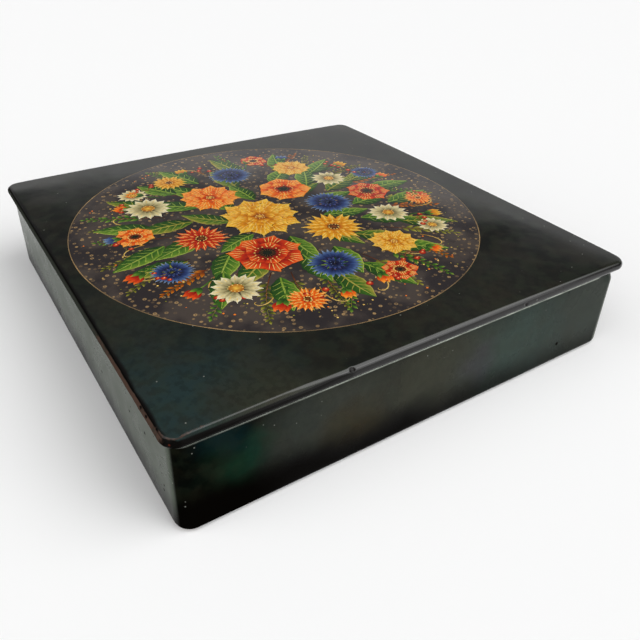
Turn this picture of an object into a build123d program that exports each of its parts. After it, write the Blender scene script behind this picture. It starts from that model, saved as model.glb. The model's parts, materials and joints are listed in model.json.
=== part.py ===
"""Low square lacquer box of wound and pressed paper board, with a hinged lid.

The lid is a slightly domed panel glued on a frame. The frame drops over a lip that the liner
strips form inside the wall, and two small brass butt hinges at the back carry it.
Front is -Y, the hinges are at +Y, and the origin is the middle of the underside. Millimetres.
"""

import os
from math import atan2, degrees

from build123d import *

# Lid
lid_width = 200.0
lid_depth = 194.0
lid_corner_radius = 5.4
lid_crown_thickness = 5.6  # frame and panel together, at the middle
lid_dome_radius = 6200.0
lid_frame_height = 2.0
lid_edge_round = 2.4
lid_frame_landing = 0.6  # frame left in front of the hinge leaves

# Wall of the box
body_height = 36.0
lid_overhang = 1.9  # lid edge to the wall, at the rim
wall_thickness = 4.5  # at the rim
wall_flare = 0.7  # the foot stands this far out of the rim
body_corner_radius = 5.7  # at the foot
cavity_corner_radius = 1.6
foot_round = 2.7
rim_round = 1.6

# Bottom panel, let into a rebate at the foot of the wall
bottom_thickness = 4.0
bottom_rebate = 1.8
glue_gap = 0.05

# Liner strips, which stand above the rim as the closing lip
liner_thickness = 1.6
lip_top_clearance = 0.8  # lip to the lid panel above it
lip_clearance = 0.4
lip_end_clearance = 0.8
lip_round = 0.5

# Hinges
hinge_side_distance = 45.0  # hinge centre to the lid's side
hinge_length = 30.0
hinge_axis_offset = 0.3  # axis behind the wall's back face, at the rim
knuckle_count = 5
knuckle_radius = 1.45
knuckle_gap = 0.2
pin_radius = 0.8
pin_clearance = 0.05
pin_chamfer = 0.15
leaf_thickness = 0.8
leaf_sink = 0.1  # leaf face below flush
leaf_landing = 0.3  # liner left in front of the leaf
leaf_corner_radius = 0.8
seat_clearance = 0.1
barrel_clearance = 0.3

# Hinge nails
nail_radius = 0.5
nail_head_flare = 0.5  # the head's cone stands this far out of the shank, and is as deep
nail_cover = 1.4  # board left over the nail points in the lid
nail_point_length = 1.0
nail_clearance = 0.03
nail_end_distance = 5.0  # nail centre to the end of its leaf

# Outlines that follow from the sizes above
body_width = lid_width - 2 * lid_overhang
body_depth = lid_depth - 2 * lid_overhang
cavity_width = body_width - 2 * wall_thickness
cavity_depth = body_depth - 2 * wall_thickness
liner_width = cavity_width - 2 * glue_gap
liner_depth = cavity_depth - 2 * glue_gap
lip_height = lid_frame_height - lip_top_clearance
panel_bottom = body_height + lid_frame_height
lid_top = body_height + lid_crown_thickness


def dome_sag(x, y):
    """How far the domed top lies below its crown at this place."""
    return (x**2 + y**2) / (2 * lid_dome_radius)


# Rounds stay inside the board that they are cut on
round_share = 0.9
panel_corner_height = lid_crown_thickness - lid_frame_height - dome_sag(lid_width / 2, lid_depth / 2)
panel_round = min(lid_edge_round, round_share * panel_corner_height)
frame_round = min(lid_edge_round, round_share * lid_frame_height)
foot_thickness = wall_thickness + wall_flare - bottom_rebate
wall_foot_round = min(foot_round, round_share * foot_thickness)
strip_round = min(lip_round, round_share * liner_thickness / 2)

# Hinge layout
hinge_spacing = lid_width - 2 * hinge_side_distance
hinge_centres = {"left": -hinge_spacing / 2, "right": hinge_spacing / 2}
hinge_axis_y = body_depth / 2 + hinge_axis_offset
knuckle_pitch = hinge_length / knuckle_count
notch_reach = knuckle_radius + barrel_clearance
notch_front = hinge_axis_y - notch_reach
leaf_front = liner_depth / 2 - liner_thickness + leaf_landing
leaf_depth = notch_front - leaf_front
nail_y = (cavity_depth / 2 + notch_front) / 2
nail_offset = hinge_length / 2 - nail_end_distance
nail_board = lid_crown_thickness - dome_sag(hinge_spacing / 2 + nail_offset, nail_y)
nail_length = nail_board - leaf_sink - nail_cover
nail_head_radius = nail_radius + nail_head_flare

# The frame's opening clears the lip, and its back bar is wide enough for the hinge leaves
opening_front = -(cavity_depth / 2 + lip_clearance)
opening_back = leaf_front - lid_frame_landing
lip_back_end = opening_back - lip_end_clearance


def cut_hinge_seats(upward):
    """Cut the leaf seats and barrel notches of both hinges into the part that is being built."""
    side = Align.MIN if upward else Align.MAX
    seat_front = leaf_front - seat_clearance
    with Locations(*[(x, seat_front, body_height) for x in hinge_centres.values()]):
        Box(
            hinge_length + 2 * seat_clearance,
            notch_front - seat_front,
            leaf_sink + leaf_thickness,
            align=(Align.CENTER, Align.MIN, side),
            mode=Mode.SUBTRACT,
        )
    with Locations(*[(x, notch_front, body_height) for x in hinge_centres.values()]):
        Box(
            hinge_length + 2 * barrel_clearance,
            lid_depth / 2 - notch_front + barrel_clearance,
            notch_reach,
            align=(Align.CENTER, Align.MIN, side),
            mode=Mode.SUBTRACT,
        )


def nail_places(upward, centres=tuple(hinge_centres.values())):
    """Places of the nail heads, flush in the leaf faces, with the nails pointing down or up."""
    head_z = body_height + leaf_sink if upward else body_height - leaf_sink
    tilt = 180 if upward else 0
    columns = [x + step for x in centres for step in (-nail_offset, nail_offset)]
    return [Location((x, nail_y, head_z), (tilt, 0, 0)) for x in columns]


def cut_nail_holes(upward):
    """Drill the nail holes of both hinges into the part that is being built."""
    with Locations(*nail_places(upward)):
        Cylinder(
            nail_radius + nail_clearance,
            nail_length + nail_clearance,
            align=(Align.CENTER, Align.CENTER, Align.MAX),
            mode=Mode.SUBTRACT,
        )


os.makedirs("parts", exist_ok=True)

# Wall, one ring wound from paper strip
with BuildPart() as wall_frame:
    with BuildSketch():
        RectangleRounded(body_width + 2 * wall_flare, body_depth + 2 * wall_flare, body_corner_radius)
    extrude(amount=body_height, taper=degrees(atan2(wall_flare, body_height)))
    fillet(wall_frame.faces().sort_by(Axis.Z)[0].edges(), wall_foot_round)
    fillet(wall_frame.faces().sort_by(Axis.Z)[-1].edges(), rim_round)
    with BuildSketch():
        RectangleRounded(cavity_width, cavity_depth, cavity_corner_radius)
    extrude(amount=body_height, mode=Mode.SUBTRACT)
    with BuildSketch():
        RectangleRounded(
            cavity_width + 2 * bottom_rebate,
            cavity_depth + 2 * bottom_rebate,
            cavity_corner_radius + bottom_rebate,
        )
    extrude(amount=bottom_thickness, mode=Mode.SUBTRACT)
    cut_hinge_seats(upward=False)
    cut_nail_holes(upward=False)
wall_frame.part.label = "wall_frame"
export_step(wall_frame.part, "parts/wall_frame.step")

# Bottom panel, glued into the rebate
with BuildPart() as bottom_panel:
    with BuildSketch():
        RectangleRounded(
            cavity_width + 2 * (bottom_rebate - glue_gap),
            cavity_depth + 2 * (bottom_rebate - glue_gap),
            cavity_corner_radius + bottom_rebate - glue_gap,
        )
    extrude(amount=bottom_thickness)
bottom_panel.part.label = "bottom_panel"
export_step(bottom_panel.part, "parts/bottom_panel.step")

# Liner strips, mitred at the corners: turn about Z, length along the wall, centre to wall
liner_strips = {
    "front_liner": (0, liner_width, liner_depth / 2),
    "right_liner": (90, liner_depth, liner_width / 2),
    "back_liner": (180, liner_width, liner_depth / 2),
    "left_liner": (270, liner_depth, liner_width / 2),
}
for name, (turn, length, reach) in liner_strips.items():
    with BuildPart() as liner:
        with BuildSketch(Plane.XY.offset(bottom_thickness).rotated((0, 0, turn))):
            with BuildLine():
                Polyline(
                    (-length / 2, -reach),
                    (length / 2, -reach),
                    (length / 2 - liner_thickness, liner_thickness - reach),
                    (liner_thickness - length / 2, liner_thickness - reach),
                    close=True,
                )
            make_face()
            RectangleRounded(length, 2 * reach, cavity_corner_radius - glue_gap, mode=Mode.INTERSECT)
        extrude(amount=body_height + lip_height - bottom_thickness)
        long_edges = liner.faces().sort_by(Axis.Z)[-1].edges().sort_by(SortBy.LENGTH)[-2:]
        fillet(long_edges, strip_round)
        # The lip stops short of the hinges, so the back strip ends level with the rim
        with Locations((0, lip_back_end, body_height)):
            Box(
                cavity_width,
                cavity_depth,
                lip_height,
                align=(Align.CENTER, Align.MIN, Align.MIN),
                mode=Mode.SUBTRACT,
            )
        cut_hinge_seats(upward=False)
    liner.part.label = name
    export_step(liner.part, f"parts/{name}.step")

# Lid panel, pressed to a shallow dome, with a rounded upper edge
with BuildPart() as lid_panel:
    with BuildSketch(Plane.XY.offset(panel_bottom)):
        RectangleRounded(lid_width, lid_depth, lid_corner_radius)
    extrude(amount=lid_crown_thickness - lid_frame_height)
    with Locations((0, 0, lid_top - lid_dome_radius)):
        Sphere(lid_dome_radius, rotation=(0, 90, 0), mode=Mode.INTERSECT)
    fillet(lid_panel.faces().sort_by(Axis.Z)[-1].edges(), panel_round)
    cut_nail_holes(upward=True)
lid_panel.part.label = "lid_panel"
export_step(lid_panel.part, "parts/lid_panel.step")

# Lid frame, which completes the rounded edge below and drops over the lip
with BuildPart() as lid_frame:
    with BuildSketch(Plane.XY.offset(body_height)):
        RectangleRounded(lid_width, lid_depth, lid_corner_radius)
    extrude(amount=lid_frame_height)
    fillet(lid_frame.faces().sort_by(Axis.Z)[0].edges(), frame_round)
    with BuildSketch(Plane.XY.offset(body_height)):
        with Locations((0, (opening_front + opening_back) / 2)):
            RectangleRounded(
                cavity_width + 2 * lip_clearance,
                opening_back - opening_front,
                cavity_corner_radius + lip_clearance,
            )
    extrude(amount=lid_frame_height, mode=Mode.SUBTRACT)
    cut_hinge_seats(upward=True)
    cut_nail_holes(upward=True)
lid_frame.part.label = "lid_frame"
export_step(lid_frame.part, "parts/lid_frame.step")

# Hinge leaves: a flat plate held back from the barrel, and its own knuckles on the pin
for side, centre in hinge_centres.items():
    hinge_start = centre - hinge_length / 2
    for owner, upward, first_knuckle in (("body", False, 0), ("lid", True, 1)):
        plate_offset = leaf_sink + leaf_thickness / 2
        plate_z = body_height + plate_offset if upward else body_height - plate_offset
        with BuildPart() as leaf:
            with BuildSketch(Plane.XY.offset(plate_z)):
                with Locations((centre, leaf_front + leaf_depth / 2)):
                    Rectangle(hinge_length, leaf_depth)
            extrude(amount=leaf_thickness / 2, both=True)
            front_corners = leaf.edges().filter_by(Axis.Z).group_by(Axis.Y)[0]
            fillet(front_corners, leaf_corner_radius)
            for index in range(first_knuckle, knuckle_count, 2):
                knuckle_start = hinge_start + index * knuckle_pitch + knuckle_gap / 2
                with BuildSketch(Plane.YZ.offset(knuckle_start)):
                    with Locations((hinge_axis_y, plate_z)):
                        Rectangle(
                            notch_reach + leaf_thickness,
                            leaf_thickness,
                            align=(Align.MAX, Align.CENTER),
                        )
                    with Locations((hinge_axis_y, body_height)):
                        Circle(knuckle_radius)
                        Circle(pin_radius + pin_clearance, mode=Mode.SUBTRACT)
                extrude(amount=knuckle_pitch - knuckle_gap)
            with Locations(*nail_places(upward, [centre])):
                CounterSinkHole(
                    nail_radius + nail_clearance,
                    nail_head_radius + nail_clearance,
                    depth=nail_length,
                    counter_sink_angle=90,
                )
        leaf.part.label = f"{side}_hinge_{owner}_leaf"
        export_step(leaf.part, f"parts/{leaf.part.label}.step")

    with BuildPart() as pin:
        with BuildSketch(Plane.YZ.offset(hinge_start)):
            with Locations((hinge_axis_y, body_height)):
                Circle(pin_radius)
        extrude(amount=hinge_length)
        chamfer(pin.edges().filter_by(GeomType.CIRCLE), pin_chamfer)
    pin.part.label = f"{side}_hinge_pin"
    export_step(pin.part, f"parts/{pin.part.label}.step")

# One nail, head up at the origin, and its copies in the two groups
with BuildPart() as nail:
    with BuildSketch(Plane.XZ):
        with BuildLine():
            Polyline(
                (0, 0),
                (nail_head_radius, 0),
                (nail_radius, -nail_head_flare),
                (nail_radius, nail_point_length - nail_length),
                (0, -nail_length),
                close=True,
            )
        make_face()
    revolve(axis=Axis.Z)

for name, upward in (("body_leaf_nails", False), ("lid_leaf_nails", True)):
    with BuildPart() as nails:
        with Locations(*nail_places(upward)):
            add(nail.part)
    nails.part.label = name
    export_step(nails.part, f"parts/{name}.step")
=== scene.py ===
"""Looks of a low square lacquer box with a painted, hinged lid, in the frame of its solids. Metres."""

import json
import math
import random

import bmesh
import bpy
from mathutils import Matrix, Vector, noise

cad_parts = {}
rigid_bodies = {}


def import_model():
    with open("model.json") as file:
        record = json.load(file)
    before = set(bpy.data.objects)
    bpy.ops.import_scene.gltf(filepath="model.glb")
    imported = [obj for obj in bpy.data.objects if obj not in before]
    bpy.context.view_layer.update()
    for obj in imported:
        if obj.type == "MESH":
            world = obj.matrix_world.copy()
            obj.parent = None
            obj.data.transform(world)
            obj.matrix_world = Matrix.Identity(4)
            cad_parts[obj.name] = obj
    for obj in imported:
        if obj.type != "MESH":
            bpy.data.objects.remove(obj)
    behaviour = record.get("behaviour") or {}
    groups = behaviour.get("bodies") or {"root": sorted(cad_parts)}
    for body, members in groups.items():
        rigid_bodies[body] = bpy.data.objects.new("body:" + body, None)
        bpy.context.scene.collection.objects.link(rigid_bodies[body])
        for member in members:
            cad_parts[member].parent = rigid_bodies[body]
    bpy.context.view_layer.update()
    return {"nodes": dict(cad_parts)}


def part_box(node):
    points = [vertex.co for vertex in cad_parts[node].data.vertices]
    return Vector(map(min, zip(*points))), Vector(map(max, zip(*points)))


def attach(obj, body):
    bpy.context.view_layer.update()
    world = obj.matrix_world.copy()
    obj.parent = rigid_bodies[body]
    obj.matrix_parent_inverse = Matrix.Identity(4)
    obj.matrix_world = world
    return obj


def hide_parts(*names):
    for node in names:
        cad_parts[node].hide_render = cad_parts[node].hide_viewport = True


for leftover in list(bpy.data.objects):
    bpy.data.objects.remove(leftover)

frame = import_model()
random.seed(7)

MM = 0.001

# Sizes that the solids give
lid_low, lid_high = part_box("lid_frame")
LID_HALF_X = lid_high.x
LID_HALF_Y = lid_high.y
RIM_Z = lid_low.z
RECESS_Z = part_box("lid_panel")[0].z
FLOOR_TOP_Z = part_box("bottom_panel")[1].z

# Sizes of the boards, as the solids have them
PANEL_HEIGHT = 3.6 * MM
DOME_RADIUS = 6200 * MM
LID_CORNER = 5.4 * MM
TOP_ROUND = 1.83 * MM
UNDER_ROUND = 1.8 * MM
LID_OVERHANG = 1.9 * MM
WALL_FLARE = 0.7 * MM
WALL_CORNER = 5.7 * MM
WALL_THICKNESS = 4.5 * MM
CAVITY_CORNER = 1.6 * MM
BOTTOM_REBATE = 1.8 * MM
FOOT_ROUND = 2.7 * MM
RIM_ROUND = 1.6 * MM
LIP_CLEARANCE = 0.4 * MM
FRAME_LANDING = 0.6 * MM
SEAT_DEPTH = 0.9 * MM
SEAT_CLEARANCE = 0.1 * MM
BARREL_CLEARANCE = 0.3 * MM

CROWN_Z = RECESS_Z + PANEL_HEIGHT
RIM_HALF_X = LID_HALF_X - LID_OVERHANG
RIM_HALF_Y = LID_HALF_Y - LID_OVERHANG

# Polished lacquer is never quite flat: a slow wave in the top and the walls, and a top that falls
# away a little along its edges
WAVE_LENGTH = 38 * MM
TOP_WAVE = 0.02 * MM
WALL_WAVE = 0.06 * MM
ROLL_WIDTH = 14 * MM
ROLL_DROP = 0.2 * MM


def lacquer_wave(place, height):
    """Slow wave that hand polishing leaves in the lacquer."""
    return height * noise.noise(place / WAVE_LENGTH)


def top_z(x, y):
    """Height of the domed lid top."""
    roll_x = max(1 - (LID_HALF_X - abs(x)) / ROLL_WIDTH, 0.0)
    roll_y = max(1 - (LID_HALF_Y - abs(y)) / ROLL_WIDTH, 0.0)
    dome = CROWN_Z - (x * x + y * y) / (2 * DOME_RADIUS)
    return dome - ROLL_DROP * (roll_x ** 2 + roll_y ** 2) + lacquer_wave(Vector((x, y, 0)), TOP_WAVE)


# Mesh building


def new_piece(name, vertices, faces, body, replaced=(), slot="black_lacquer"):
    """A mesh piece that rides on a body and stands for the CAD nodes named in replaced."""
    mesh = bpy.data.meshes.new(name)
    mesh.from_pydata(vertices, [], faces)
    mesh.update()
    piece = bpy.data.objects.new(name, mesh)
    bpy.context.scene.collection.objects.link(piece)
    if replaced:
        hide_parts(*replaced)
    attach(piece, body)
    return piece


CORNER_STEPS = 14
# Steps along the right, back, left and front sides: finer where the edge is worn
SIDE_STEPS = (380, 110, 110, 380)


def outline(half_x, half_y, radius, centre_y=0.0):
    """Points round a rectangle with round corners, from its front right corner, right side first."""
    corners = []
    for index, (sign_x, sign_y) in enumerate(((1, -1), (1, 1), (-1, 1), (-1, -1))):
        centre = (sign_x * (half_x - radius), centre_y + sign_y * (half_y - radius))
        arc = []
        for step in range(CORNER_STEPS + 1):
            angle = math.radians(90 * (index - 1 + step / CORNER_STEPS))
            arc.append((centre[0] + radius * math.cos(angle), centre[1] + radius * math.sin(angle)))
        corners.append(arc)
    points = []
    for index, steps in enumerate(SIDE_STEPS):
        points += corners[index]
        start = corners[index][-1]
        end = corners[(index + 1) % 4][0]
        for step in range(1, steps):
            share = step / steps
            points.append((start[0] + (end[0] - start[0]) * share, start[1] + (end[1] - start[1]) * share))
    return points


def skin_rings(rings, closed):
    """Vertices and faces through rings of as many points each. Open stacks end in a fan at each end."""
    count = len(rings[0])
    vertices = [tuple(point) for ring in rings for point in ring]
    faces = []
    spans = len(rings) if closed else len(rings) - 1
    for level in range(spans):
        low = level * count
        high = ((level + 1) % len(rings)) * count
        for k in range(count):
            following = (k + 1) % count
            faces.append((low + k, high + k, high + following, low + following))
    if not closed:
        for start, forward in ((0, True), ((len(rings) - 1) * count, False)):
            ring = [Vector(v) for v in vertices[start:start + count]]
            hub = len(vertices)
            vertices.append(tuple(sum(ring, Vector()) / count))
            for k in range(count):
                pair = (start + k, start + (k + 1) % count)
                faces.append((hub,) + (pair if forward else pair[::-1]))
    return vertices, faces


def ring_at(points, height):
    """A ring from outline points, with the height a number or a function of x and y."""
    return [(x, y, height(x, y) if callable(height) else height) for x, y in points]


def quarter_turn(steps, start, end):
    """Angles from start to end in degrees, in radians, both ends included."""
    return [math.radians(start + (end - start) * k / steps) for k in range(steps + 1)]


ROUND_STEPS = 12
# Rings of the lid's top, as shares of the way from its middle to its round
TOP_SHARES = (
    0.03, 0.09, 0.18, 0.28, 0.38, 0.48, 0.58, 0.68, 0.77, 0.84, 0.88, 0.905, 0.93, 0.95, 0.97, 0.985, 0.993,
)
RECESS_SHARES = (0.9, 0.5, 0.1)

# Opening of the lid's frame, which drops over the lip
OPENING_FRONT = RIM_HALF_Y - WALL_THICKNESS + LIP_CLEARANCE
OPENING_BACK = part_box("left_hinge_lid_leaf")[0].y - FRAME_LANDING
OPENING_HALF_X = RIM_HALF_X - WALL_THICKNESS + LIP_CLEARANCE


def lid_rings():
    """Rings of the lid: domed top, rounded edge, underside, recess."""
    inner = outline(LID_HALF_X - TOP_ROUND, LID_HALF_Y - TOP_ROUND, LID_CORNER - TOP_ROUND)
    rings = []
    for share in TOP_SHARES:
        rings.append(ring_at([(x * share, y * share) for x, y in inner], top_z))
    for angle in quarter_turn(ROUND_STEPS, 90, 0):
        inset = TOP_ROUND * (1 - math.cos(angle))
        drop = TOP_ROUND * (1 - math.sin(angle))
        points = outline(LID_HALF_X - inset, LID_HALF_Y - inset, LID_CORNER - inset)
        rings.append([(x, y, top_z(x, y) - drop) for x, y in points])
    for angle in quarter_turn(ROUND_STEPS, 0, 90):
        inset = UNDER_ROUND * (1 - math.cos(angle))
        rise = UNDER_ROUND * (1 - math.sin(angle))
        points = outline(LID_HALF_X - inset, LID_HALF_Y - inset, LID_CORNER - inset)
        rings.append(ring_at(points, RIM_Z + rise))
    opening = outline(
        OPENING_HALF_X,
        (OPENING_FRONT + OPENING_BACK) / 2,
        CAVITY_CORNER + LIP_CLEARANCE,
        (OPENING_BACK - OPENING_FRONT) / 2,
    )
    rings.append(ring_at(opening, RIM_Z))
    rings.append(ring_at(opening, RECESS_Z))
    for share in RECESS_SHARES:
        rings.append(ring_at([(x * share, y * share) for x, y in opening], RECESS_Z))
    return rings


WALL_LEVELS = 24
# The rim's back right corner is knocked in: its reach runs from nothing to full, round the corner and down
KNOCKED_CORNER = Vector((RIM_HALF_X, RIM_HALF_Y))
KNOCK_DEPTH = 1.2 * MM
KNOCK_REACH = (15 * MM, 4 * MM)
KNOCK_HEIGHTS = (RIM_Z - 5 * MM, RIM_Z)


def ease(low, high, value):
    """0 below low, 1 above high and smooth between them. low may be the larger."""
    share = min(max((value - low) / (high - low), 0.0), 1.0)
    return share * share * (3 - 2 * share)


def wall_outline(height, inset=0.0):
    """Outline of the wall's outer face, which flares a little from the rim to the foot and is knocked in
    at the rim's back right corner."""
    flare = WALL_FLARE * (1 - height / RIM_Z)
    radius = WALL_CORNER - WALL_FLARE + flare - inset
    points = []
    for x, y in outline(RIM_HALF_X + flare - inset, RIM_HALF_Y + flare - inset, radius):
        away = (Vector((x, y)) - KNOCKED_CORNER).length
        knock = ease(*KNOCK_REACH, away) * ease(*KNOCK_HEIGHTS, height)
        swell = 1 + (lacquer_wave(Vector((x, y, height)), WALL_WAVE) - KNOCK_DEPTH * knock) / RIM_HALF_X
        points.append((x * swell, y * swell, height))
    return points


def wall_rings():
    """Rings of the wall: foot, outer face, rim, inner face and the rebate for the bottom panel."""
    rings = []
    for angle in quarter_turn(ROUND_STEPS, -90, 0):
        inset = FOOT_ROUND * (1 - math.cos(angle))
        rings.append(wall_outline(FOOT_ROUND * (1 + math.sin(angle)), inset))
    for step in range(1, WALL_LEVELS):
        rings.append(wall_outline(FOOT_ROUND + (RIM_Z - RIM_ROUND - FOOT_ROUND) * step / WALL_LEVELS))
    for angle in quarter_turn(ROUND_STEPS, 0, 90):
        inset = RIM_ROUND * (1 - math.cos(angle))
        rings.append(wall_outline(RIM_Z - RIM_ROUND * (1 - math.sin(angle)), inset))
    cavity_x = RIM_HALF_X - WALL_THICKNESS
    cavity_y = RIM_HALF_Y - WALL_THICKNESS
    cavity = outline(cavity_x, cavity_y, CAVITY_CORNER)
    rebate = outline(cavity_x + BOTTOM_REBATE, cavity_y + BOTTOM_REBATE, CAVITY_CORNER + BOTTOM_REBATE)
    rings.append(ring_at(cavity, RIM_Z))
    rings.append(ring_at(cavity, FLOOR_TOP_Z))
    rings.append(ring_at(rebate, FLOOR_TOP_Z))
    rings.append(ring_at(rebate, 0.0))
    return rings


def cut_hinge_seats(piece, upward):
    """Cut the hinges' leaf seats and barrel notches out of a piece, above or below the rim."""
    shape = bmesh.new()
    for side in ("left", "right"):
        leaf_low, leaf_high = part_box(f"{side}_hinge_lid_leaf")
        notch_depth = (leaf_high.z - leaf_low.z) / 2 + BARREL_CLEARANCE
        seat_front = leaf_low.y - SEAT_CLEARANCE
        notch_front = leaf_high.y - (leaf_high.z - leaf_low.z) - BARREL_CLEARANCE
        back = LID_HALF_Y + MM
        steps = (
            (seat_front, -MM), (back, -MM), (back, notch_depth),
            (notch_front, notch_depth), (notch_front, SEAT_DEPTH), (seat_front, SEAT_DEPTH),
        )
        ends = []
        for x in (leaf_low.x - BARREL_CLEARANCE, leaf_high.x + BARREL_CLEARANCE):
            ends.append([shape.verts.new((x, y, RIM_Z + (rise if upward else -rise))) for y, rise in steps])
        shape.faces.new(ends[0])
        shape.faces.new(ends[1][::-1])
        for k in range(len(steps)):
            after = (k + 1) % len(steps)
            shape.faces.new((ends[0][k], ends[1][k], ends[1][after], ends[0][after]))
    bmesh.ops.recalc_face_normals(shape, faces=shape.faces)
    cutter_mesh = bpy.data.meshes.new("hinge_seat_cutter")
    shape.to_mesh(cutter_mesh)
    shape.free()
    cutter = bpy.data.objects.new("hinge_seat_cutter", cutter_mesh)
    bpy.context.scene.collection.objects.link(cutter)
    cut = piece.modifiers.new("hinge_seats", "BOOLEAN")
    cut.object = cutter
    cut.solver = "EXACT"
    bpy.context.view_layer.update()
    evaluated = piece.evaluated_get(bpy.context.evaluated_depsgraph_get())
    result = bpy.data.meshes.new_from_object(evaluated)
    piece.modifiers.clear()
    old = piece.data
    piece.data = result
    bpy.data.meshes.remove(old)
    bpy.data.objects.remove(cutter)
    bpy.data.meshes.remove(cutter_mesh)


def smooth(piece, angle=35):
    """Smooth shading with sharp edges where faces meet at more than angle degrees."""
    for polygon in piece.data.polygons:
        polygon.use_smooth = True
    piece.data.set_sharp_from_angle(angle=math.radians(angle))


# Wear on the lid's edge and the wall's foot

# The lid's right edge is turned over further from near the corner to before its middle
EDGE_TURN = 2.9 * MM
EDGE_TURN_START = (-94 * MM, -88 * MM)
EDGE_TURN_END = (-42 * MM, -54 * MM)


def turn_edge_over(piece):
    """Round the lid's right edge further near the front, where hand work has turned it over more."""
    for vertex in piece.data.vertices:
        place = vertex.co
        inset = max(LID_HALF_X - place.x, 0.0)
        if inset < EDGE_TURN and place.z > RIM_Z + UNDER_ROUND:
            fall = EDGE_TURN - math.sqrt(EDGE_TURN ** 2 - (EDGE_TURN - inset) ** 2)
            turned = max(top_z(place.x, place.y) - fall, RIM_Z + UNDER_ROUND)
            share = ease(*EDGE_TURN_START, place.y) * ease(*EDGE_TURN_END, place.y)
            place.z += share * min(turned - place.z, 0.0)


# Chips in the lid's edge: place in mm, reach, depth
LID_CHIPS = (
    ((99.5, -37.3, 39.8), 1.2, 0.25),
    ((100, 38.4, 38.3), 1.0, 0.4),
    ((81.8, -97, 39.4), 1.0, 0.35),
    ((86.0, -97, 39.0), 0.9, 0.3),
)
CHIP_RAGGED = 0.8 * MM
# Wear stays this far above the underside, and goes in towards a point this far below
WEAR_FOOT = 0.2 * MM
INWARD_FALL = 40 * MM
# The rubbed front edge: its roughness and depth, where it sets in along the front and ends at the corner,
# how near it lies to the front and above the rim, and how far the edge has turned there
RUB_STEP = 5 * MM
RUB_DEPTH = 0.2 * MM
RUB_ALONG = (10 * MM, 80 * MM)
RUB_END = (99 * MM, 94 * MM)
RUB_FRONT = (-93.5 * MM, -95.5 * MM)
RUB_ABOVE_RIM = (0.6 * MM, 1.4 * MM)
RUB_TURN = (0.2, 0.36)
RUB_RAGGED = 0.12
# The ridge of the round at the near corner, rubbed less
RIDGE_START = (0.03, 0.08)
RIDGE_END = (0.3, 0.16)
RIDGE_ALONG = (-74 * MM, -92 * MM)
RIDGE_ACROSS = (90 * MM, 95 * MM)
RIDGE_SHARE = 0.5
# The rubbed foot of the wall, and how far hands have rubbed along the front and the right side
FOOT_RUB = (1.8 * MM, 0.4 * MM)
HANDS_ALONG_FRONT = (52 * MM, 84 * MM)
HANDS_ALONG_RIGHT = (-84 * MM, -95 * MM)


def near_corner(place):
    """1 at the front right corner, which hands have rubbed most, falling off along both sides."""
    return ease(*HANDS_ALONG_FRONT, place.x) * ease(*HANDS_ALONG_RIGHT, place.y)


def edge_turn(place):
    """How far a place on the lid's rounded edge has turned from the top: 0 on top, 1 at the side."""
    depth = top_z(place.x, place.y) - place.z
    return min(max(depth / TOP_ROUND, 0.0), 1.0)


def set_marks(piece, name, marks):
    """Keep a value from 0 to 1 at each point of a piece for its material."""
    values = piece.data.attributes.new(name, "FLOAT", "POINT")
    values.data.foreach_set("value", [min(max(mark, 0.0), 1.0) for mark in marks])


def wear_lid(piece):
    """Chip and rub the lid's edge, and mark where the lacquer is worn through or broken out."""
    wear = []
    chips = []
    for vertex in piece.data.vertices:
        place = vertex.co.copy()
        inset = min(LID_HALF_X - abs(place.x), LID_HALF_Y - abs(place.y))
        worn = 0.0
        broken = 0.0
        if inset < 2 * TOP_ROUND and place.z > RIM_Z + WEAR_FOOT:
            inward = Vector((-place.x, -place.y, -INWARD_FALL)).normalized()
            turn = edge_turn(place)
            rough = noise.noise(place / RUB_STEP) + 0.5 * noise.noise(place / RUB_STEP * 3)
            ragged = RUB_RAGGED * rough
            rubbed = ease(RUB_TURN[0] + ragged, RUB_TURN[1] + ragged, turn)
            rubbed *= ease(*RUB_ABOVE_RIM, place.z - RIM_Z)
            front = ease(*RUB_ALONG, place.x) * ease(*RUB_END, place.x) * ease(*RUB_FRONT, place.y)
            ridge = ease(*RIDGE_START, turn) * ease(*RIDGE_END, turn)
            ridge *= ease(*RIDGE_ALONG, place.y) * ease(*RIDGE_ACROSS, place.x)
            vertex.co = vertex.co + inward * (RUB_DEPTH * front * rubbed * (0.5 + rough))
            worn = max(front * rubbed * (0.75 + 0.35 * rough), RIDGE_SHARE * ridge)
            for spot, reach, depth in LID_CHIPS:
                away = (place - Vector(spot) * MM).length / (reach * MM)
                away += 0.4 * noise.noise(place / CHIP_RAGGED)
                bite = ease(1.0, 0.4, away)
                vertex.co = vertex.co + inward * (bite * depth * MM)
                broken = max(broken, bite)
        wear.append(worn)
        chips.append(broken)
    set_marks(piece, "wear", wear)
    set_marks(piece, "chip", chips)


def wear_wall(piece):
    """Mark where the foot of the wall is rubbed, most of all at the front right corner."""
    wear = []
    for vertex in piece.data.vertices:
        place = vertex.co
        foot = ease(*FOOT_RUB, place.z)
        rough = noise.noise(place / RUB_STEP)
        wear.append(foot * (0.2 + 0.7 * near_corner(place) + 0.6 * rough))
    set_marks(piece, "wear", wear)


# Node materials


def linear(colour):
    """An sRGB colour, as a hex value or as three channels from 0 to 1, as linear RGBA."""
    if isinstance(colour, str):
        colour = [int(colour[k:k + 2], 16) / 255 for k in (1, 3, 5)]
    return tuple(c / 12.92 if c <= 0.04045 else ((c + 0.055) / 1.055) ** 2.4 for c in colour) + (1.0,)


def plug(tree, source, socket):
    """Set a socket to a value, or link it to an output or to the first output in use of a node."""
    if isinstance(source, bpy.types.Node):
        source = next(output for output in source.outputs if output.enabled)
    if isinstance(source, bpy.types.NodeSocket):
        tree.links.new(source, socket)
    else:
        socket.default_value = source


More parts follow.
